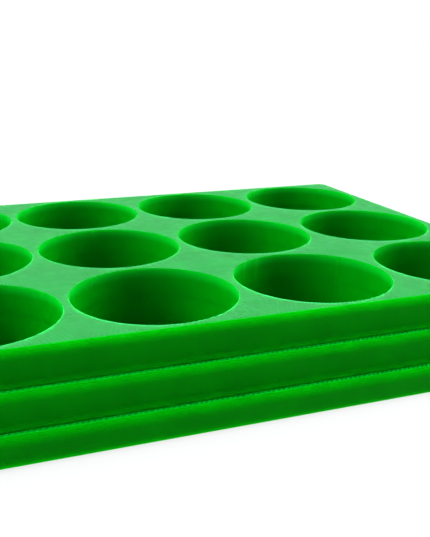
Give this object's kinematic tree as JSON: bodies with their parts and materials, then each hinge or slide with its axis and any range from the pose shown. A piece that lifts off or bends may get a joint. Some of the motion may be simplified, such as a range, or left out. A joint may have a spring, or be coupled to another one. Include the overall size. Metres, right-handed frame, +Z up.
{
  "type": "paint rack organizer",
  "caption": "Low stepped rack of round wells that hold squat hobby paint bottles upright, built as stacked tiers that lift apart.",
  "frame": {"origin": "centre of the underside, on the surface that the rack stands on", "axes": "+Z up out of the wells, +X along the long side with four wells, +Y from the front long side to the rear one"},
  "size_m": [0.1728, 0.1338, 0.0194],
  "materials": {
    "green_print": "satin, fine print layers",
    "green_pin": "satin"
  },
  "bodies": {
    "base": {"base_tier": "green_print", "lower_pin_front_left": "green_pin", "lower_pin_front_right": "green_pin", "lower_pin_rear_left": "green_pin", "lower_pin_rear_right": "green_pin"},
    "middle": {"middle_tier": "green_print", "upper_pin_front_left": "green_pin", "upper_pin_front_right": "green_pin", "upper_pin_rear_left": "green_pin", "upper_pin_rear_right": "green_pin"},
    "top": {"top_tier": "green_print"}
  },
  "joints": [
    {"name": "middle_tier_lift", "type": "slide", "parent": "base", "child": "middle", "axis": [0, 0, 1], "range_m": [0, 0.03]},
    {"name": "top_tier_lift", "type": "slide", "parent": "middle", "child": "top", "axis": [0, 0, 1], "range_m": [0, 0.03]}
  ]
}
